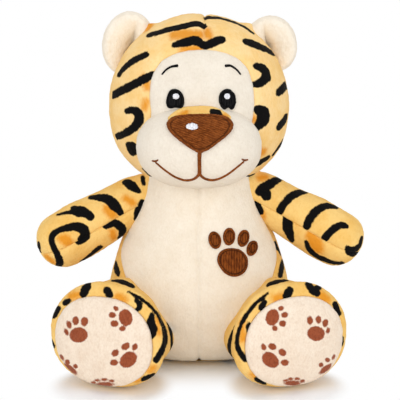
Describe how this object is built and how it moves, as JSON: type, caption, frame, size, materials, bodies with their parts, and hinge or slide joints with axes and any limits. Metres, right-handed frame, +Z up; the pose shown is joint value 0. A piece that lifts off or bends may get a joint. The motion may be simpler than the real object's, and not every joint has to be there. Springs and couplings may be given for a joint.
{
  "type": "plush leopard",
  "caption": "Seated plush leopard soft toy with printed fur panels, cream belly, face and soles, embroidered face and chest paw, and limbs, head, ears and tail that flex at their seams.",
  "frame": {"origin": "middle of the flat seat panel, on the surface that the toy sits on", "axes": "+Z up, the toy faces -Y, and +X is the toy's own left"},
  "size_m": [0.2132, 0.1833, 0.2255],
  "materials": {
    "print_plush": "short pile, printed",
    "cream_plush": "short pile",
    "sole_plush": "short pile, printed with paws",
    "brown_thread": "satin stitch",
    "black_thread": "satin stitch",
    "stuffing": "loose polyester fibre",
    "pellet_bag": "woven bag of pellets"
  },
  "bodies": {
    "torso": {"belly_panel_left": "cream_plush", "belly_panel_right": "cream_plush", "back_panel_left": "print_plush", "back_panel_right": "print_plush", "seat_panel": "print_plush", "body_stuffing": "stuffing", "pellet_bag": "pellet_bag", "chest_paw_pad": "brown_thread", "chest_paw_toe_1": "brown_thread", "chest_paw_toe_2": "brown_thread", "chest_paw_toe_3": "brown_thread", "chest_paw_toe_4": "brown_thread"},
    "neck": {"neck_stuffing": "stuffing"},
    "head": {"crown_panel_left": "print_plush", "crown_panel_right": "print_plush", "face_panel": "cream_plush", "muzzle_bridge_panel": "print_plush", "muzzle_panel_left": "cream_plush", "muzzle_panel_right": "cream_plush", "head_stuffing": "stuffing", "nose_patch": "brown_thread", "mouth_stitching": "brown_thread", "eye_left": "black_thread", "eye_right": "black_thread", "brow_left": "black_thread", "brow_right": "black_thread"},
    "ear_left": {"ear_front_left": "cream_plush", "ear_back_left": "print_plush"},
    "ear_right": {"ear_front_right": "cream_plush", "ear_back_right": "print_plush"},
    "shoulder_left": {"shoulder_stuffing_left": "stuffing"},
    "arm_left": {"arm_upper_panel_left": "print_plush", "arm_lower_panel_left": "print_plush", "arm_stuffing_left": "stuffing"},
    "shoulder_right": {"shoulder_stuffing_right": "stuffing"},
    "arm_right": {"arm_upper_panel_right": "print_plush", "arm_lower_panel_right": "print_plush", "arm_stuffing_right": "stuffing"},
    "hip_left": {"hip_stuffing_left": "stuffing"},
    "leg_left": {"thigh_panel_left": "print_plush", "foot_band_left": "print_plush", "sole_panel_left": "sole_plush", "leg_stuffing_left": "stuffing"},
    "hip_right": {"hip_stuffing_right": "stuffing"},
    "leg_right": {"thigh_panel_right": "print_plush", "foot_band_right": "print_plush", "sole_panel_right": "sole_plush", "leg_stuffing_right": "stuffing"},
    "tail": {"tail_cover": "print_plush", "tail_stuffing": "stuffing"}
  },
  "joints": [
    {"name": "neck_turn", "type": "hinge", "parent": "torso", "child": "neck", "pos_m": [0, 0, 0.118], "axis": [0, 0, 1], "range_deg": [-30, 30], "stiffness_Nm_per_rad": 0.25},
    {"name": "neck_nod", "type": "hinge", "parent": "neck", "child": "head", "pos_m": [0, 0, 0.118], "axis": [1, 0, 0], "range_deg": [-10, 10], "stiffness_Nm_per_rad": 0.6},
    {"name": "ear_left_fold", "type": "hinge", "parent": "head", "child": "ear_left", "pos_m": [0.0452, 0.004, 0.20442], "axis": [-0.6428, 0, 0.766], "range_deg": [-15, 15], "stiffness_Nm_per_rad": 0.02},
    {"name": "ear_right_fold", "type": "hinge", "parent": "head", "child": "ear_right", "pos_m": [-0.0452, 0.004, 0.20442], "axis": [-0.6428, 0, -0.766], "range_deg": [-15, 15], "stiffness_Nm_per_rad": 0.02},
    {"name": "shoulder_left_swing", "type": "hinge", "parent": "torso", "child": "shoulder_left", "pos_m": [0.05339, -0.003, 0.1], "axis": [0, 0, -1], "range_deg": [-25, 30], "stiffness_Nm_per_rad": 0.1},
    {"name": "shoulder_left_lift", "type": "hinge", "parent": "shoulder_left", "child": "arm_left", "pos_m": [0.05339, -0.003, 0.1], "axis": [0, -1, 0], "range_deg": [0, 50], "stiffness_Nm_per_rad": 0.1},
    {"name": "shoulder_right_swing", "type": "hinge", "parent": "torso", "child": "shoulder_right", "pos_m": [-0.05339, -0.003, 0.1], "axis": [0, 0, 1], "range_deg": [-25, 30], "stiffness_Nm_per_rad": 0.1},
    {"name": "shoulder_right_lift", "type": "hinge", "parent": "shoulder_right", "child": "arm_right", "pos_m": [-0.05339, -0.003, 0.1], "axis": [0, 1, 0], "range_deg": [0, 50], "stiffness_Nm_per_rad": 0.1},
    {"name": "hip_left_spread", "type": "hinge", "parent": "torso", "child": "hip_left", "pos_m": [0.04292, -0.04684, 0.0318], "axis": [0, 0, 1], "range_deg": [-12, 15], "stiffness_Nm_per_rad": 0.25},
    {"name": "hip_left_lift", "type": "hinge", "parent": "hip_left", "child": "leg_left", "pos_m": [0.04292, -0.04684, 0.0318], "axis": [-0.9397, -0.342, 0], "range_deg": [-12, 25], "stiffness_Nm_per_rad": 0.4},
    {"name": "hip_right_spread", "type": "hinge", "parent": "torso", "child": "hip_right", "pos_m": [-0.04292, -0.04684, 0.0318], "axis": [0, 0, -1], "range_deg": [-12, 15], "stiffness_Nm_per_rad": 0.25},
    {"name": "hip_right_lift", "type": "hinge", "parent": "hip_right", "child": "leg_right", "pos_m": [-0.04292, -0.04684, 0.0318], "axis": [-0.9397, 0.342, 0], "range_deg": [-12, 25], "stiffness_Nm_per_rad": 0.4},
    {"name": "tail_wag", "type": "hinge", "parent": "torso", "child": "tail", "pos_m": [0, 0.05234, 0.019], "axis": [0, 0, 1], "range_deg": [-20, 25], "stiffness_Nm_per_rad": 0.05}
  ]
}
